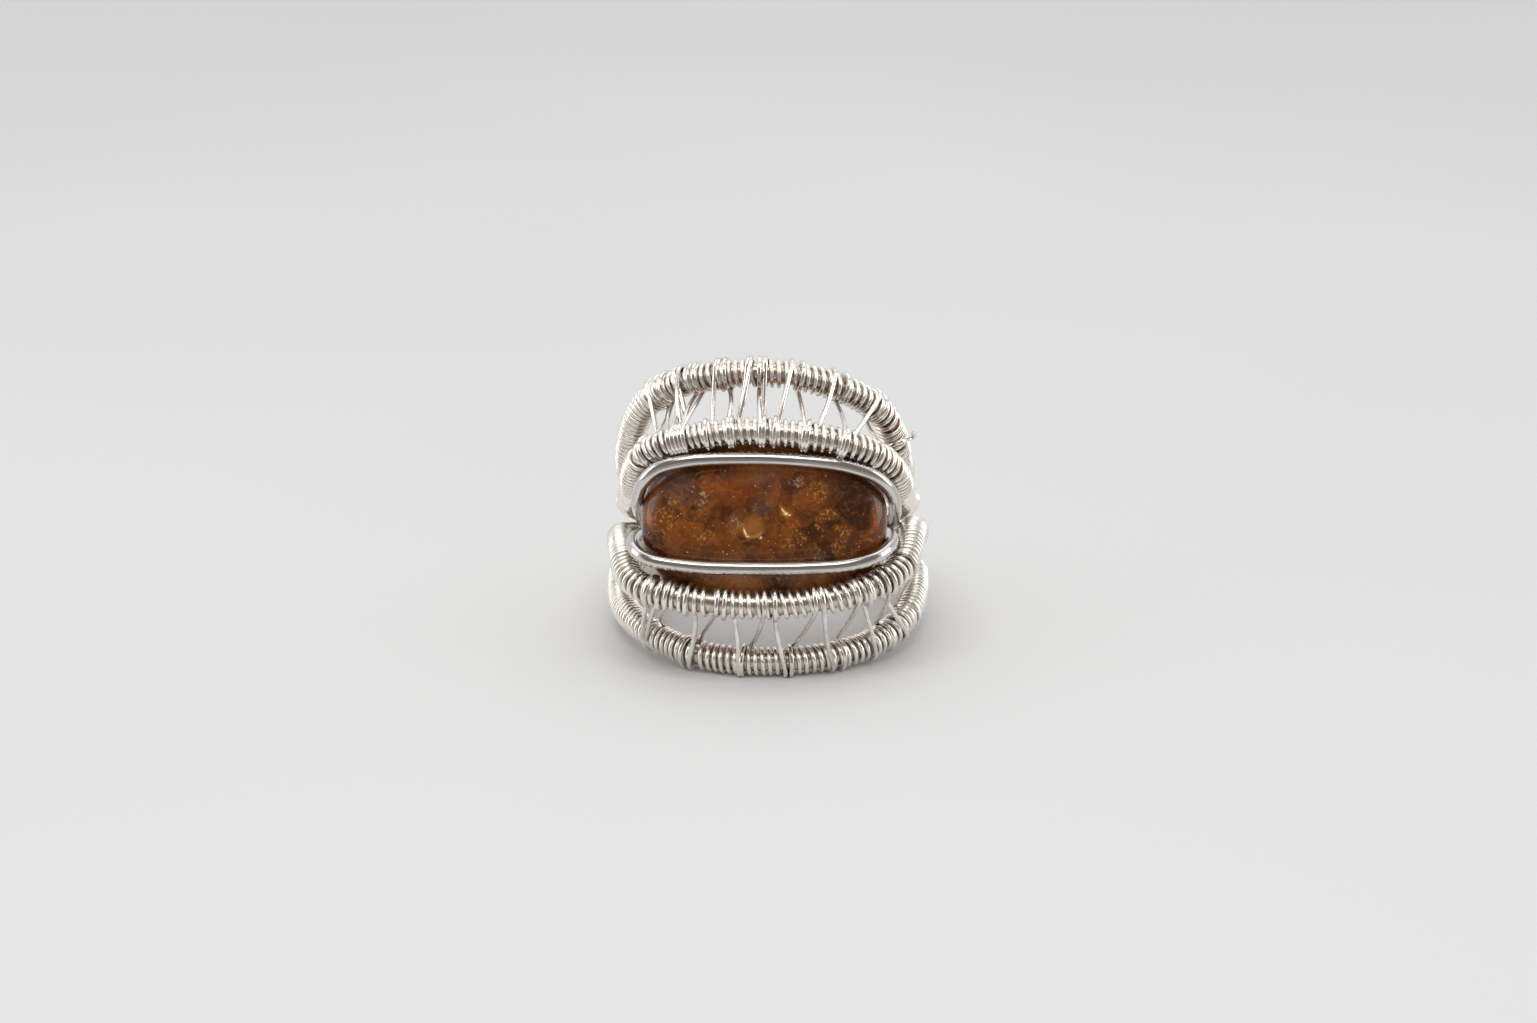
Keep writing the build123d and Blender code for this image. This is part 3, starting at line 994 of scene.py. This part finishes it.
# The core shows only in the gaps between the wraps. Its darker, browner colour, the dense tarnish and
# the dark streaks across it are painted shade for those gaps
core_shade_look = {
    "bump": 0.8,
    "bright": (0.71, 0.655, 0.575, 1),
    "tarnish": (0.38, 0.31, 0.235, 1),
    "tarnish_share": 0.8,
    "patch_scale": 1500.0,
    "smoothest": 0.20,
    "roughest": 0.38,
    "line_fineness": 1.5,
    "line_change": 6000.0,
    "streak_share": 0.45,
}
core_silver = silver("core_silver", plating, **core_shade_look)
worn_core_silver = silver("worn_core_silver", plating, copper_share=0.6, **core_shade_look)
# The bezels' dark streaks along the wire are painted reflections
bezel_silver = silver(
    "bezel_silver",
    plating,
    bump=0.25,
    bright=(0.74, 0.73, 0.715, 1),
    tarnish_share=0.1,
    smoothest=0.08,
    roughest=0.15,
    line_fineness=13.0,
    line_change=220.0,
    streak_share=0.75,
)


def dress(piece, node=None):
    """A finished piece rides on the ring and stands for its node, if it has one."""
    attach(piece, "root")
    if node:
        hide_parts(node)


for seed, node in enumerate(RAILS):
    route = routes[node]
    core = made_by(
        drawn_wire,
        node + "_core",
        path_mesh(node, [route], True),
        wire_radius=CORE_WIRE / 2 * MM,
        sides=CORE_SIDES,
        material=worn_core_silver if node == "upper_outer_rail" else core_silver,
    )
    dress(core, node)
    fine, carried, turns = winding(route, WRAP_PITCHES[node], WRAP_GAPS[node], WRAP_SEED + seed)
    wraps = made_by(
        wound_wire,
        node + "_wraps",
        path_mesh(node, [fine], False, carried),
        winding_radius=(CORE_WIRE + WRAP_WIRE) / 2 * MM,
        wire_radius=WRAP_WIRE / 2 * MM,
        steps=turns * STEPS_PER_TURN,
        sides=WRAP_SIDES,
        material=wrap_silver,
    )
    dress(wraps)

for node in BEZELS:
    wire = made_by(
        drawn_wire,
        node + "_drawn",
        path_mesh(node, [routes[node]], True),
        wire_radius=BEZEL_WIRE / 2 * MM,
        sides=BEZEL_SIDES,
        material=bezel_silver,
    )
    dress(wire, node)

band = [(routes[node], COIL_WIRE) for node in RAILS] + [(routes[node], BEZEL_WIRE) for node in BEZELS]
for node, side in (("left_binding", -1), ("right_binding", 1)):
    binding = made_by(
        drawn_wire,
        node + "_turns",
        path_mesh(node, [band_binding(band, side)], False),
        wire_radius=WRAP_WIRE / 2 * MM,
        sides=LACE_SIDES,
        material=wrap_silver,
    )
    dress(binding, node)

lacings = (
    ("upper_lacing", RAILS[0], RAILS[1], UPPER_STRANDS),
    ("lower_lacing", RAILS[2], RAILS[3], LOWER_STRANDS),
)
for name, upper, lower, strands in lacings:
    rng = np.random.default_rng(len(strands))
    laces = [lace(routes[upper], routes[lower], strand, rng) for strand in strands]
    if upper == "upper_outer_rail":
        laces.append(cut_end(routes[upper]))
    lacing = made_by(
        drawn_wire,
        name,
        path_mesh(name, laces, False),
        wire_radius=LACE_WIRE / 2 * MM,
        sides=LACE_SIDES,
        material=lace_silver,
    )
    dress(lacing)

stone = bpy.data.objects.new("stone_body", stone_mesh())
bpy.context.scene.collection.objects.link(stone)
stone.data.materials.append(bronzite())
dress(stone, "stone")

# The studio's own colours
CARD_COLOUR = (0.29, 0.26, 0.24, 1)
LIT_WALLS = (0.76, 0.76, 0.765)
DIM_WALLS = (0.225, 0.200, 0.175)
TABLE_FILL = (0.63, 0.63, 0.63)
BACKDROP = (0.50, 0.499, 0.497)


def level_sheet(name, half_width, front, back, height, material):
    """A level rectangle of the studio, in metres."""
    mesh = bpy.data.meshes.new(name)
    outline = [(-half_width, front), (half_width, front), (half_width, back), (-half_width, back)]
    mesh.from_pydata([(*corner, height) for corner in outline], [], [(0, 1, 2, 3)])
    mesh.materials.append(material)
    sheet = bpy.data.objects.new(name, mesh)
    bpy.context.scene.collection.objects.link(sheet)
    return sheet


floor = level_sheet("tabletop", half_width=9, front=-9, back=9, height=0, material=tabletop())

# A dark card before the ring, for the polished wires to reflect
card_material, _, card_shader = new_material("dark_card")
card_shader.inputs["Base Color"].default_value = CARD_COLOUR
card_shader.inputs["Roughness"].default_value = 0.8
card = level_sheet(
    "dark_card", half_width=0.2, front=-0.32, back=-0.036, height=0.0002, material=card_material
)
card.visible_camera = False
card.visible_diffuse = False
card.visible_shadow = False

camera_data = bpy.data.cameras.new("camera")
camera_data.lens = CAMERA_LENS
camera_data.sensor_width = CAMERA_SENSOR
camera_data.clip_start = 0.01
camera_data.shift_x = (PHOTO_WIDTH / 2 - MIDDLE_PX) / PHOTO_WIDTH
camera_data.shift_y = (MIDDLE_PY - PHOTO_HEIGHT / 2) / PHOTO_WIDTH
camera = bpy.data.objects.new("camera", camera_data)
bpy.context.scene.collection.objects.link(camera)
bpy.context.scene.camera = camera
bpy.context.scene.view_settings.view_transform = "Standard"
camera.location = to_table((0, -CAMERA_DISTANCE, 0))
camera.rotation_euler = (pi / 2 - ring_lean, 0, 0)


def softbox(name, place, size, power, only_gleams=False, lit=None):
    """A rectangular studio light that faces the ring, with its place and size in millimetres."""
    light = bpy.data.lights.new(name, "AREA")
    light.shape = "RECTANGLE"
    light.size = size[0] * MM
    light.size_y = size[1] * MM
    light.energy = power
    box = bpy.data.objects.new(name, light)
    bpy.context.scene.collection.objects.link(box)
    box.visible_camera = False
    box.visible_diffuse = not only_gleams
    if lit is not None:
        box.light_linking.receiver_collection = lit
    box.location = Vector(place) * MM
    box.rotation_euler = (Vector(ring_middle) - box.location).to_track_quat("-Z", "Y").to_euler()


fine_wires = bpy.data.collections.new("fine_wires")
for piece in bpy.data.objects:
    if piece.type == "MESH" and wrap_silver.name in piece.data.materials:
        fine_wires.objects.link(piece)
softbox("gleam_softbox", (-20, -306, 257), (300, 110), 0.30, only_gleams=True, lit=fine_wires)
softbox("key_softbox", (-30, -163, 368), (300, 190), 0.50)
softbox("top_softbox", (0, 170, 400), (460, 320), 0.34)
softbox("left_softbox", (-350, -10, 130), (170, 260), 0.26, only_gleams=True)
softbox("right_softbox", (350, -10, 130), (170, 260), 0.38, only_gleams=True)

# The room, as the wires reflect it: white behind the ring and dim in front of it. It lights the table
# evenly, and its backdrop meets the table's far edge
world = bpy.data.worlds.new("studio")
bpy.context.scene.world = world
world.use_nodes = True
room = world.node_tree
facing = add_node(room, "ShaderNodeTexCoord").outputs["Generated"]
towards = vector_math(room, "DOT_PRODUCT", facing, tuple(-ring_axes[1]))
aside = add_node(room, "ShaderNodeSeparateXYZ", {"Vector": facing}).outputs["X"]
aside = number_math(room, "MULTIPLY", number_math(room, "ABSOLUTE", aside), 0.3)
ahead = number_math(room, "SUBTRACT", towards, aside)
dim = ranged(room, ahead, 0.14, 0.26, smooth=True)
walls = mixed(room, dim, LIT_WALLS, DIM_WALLS)
ray = add_node(room, "ShaderNodeLightPath").outputs
walls = mixed(room, ray["Is Diffuse Ray"], walls, TABLE_FILL)
walls = mixed(room, ray["Is Camera Ray"], walls, BACKDROP)
room.links.new(walls, room.nodes["Background"].inputs["Color"])
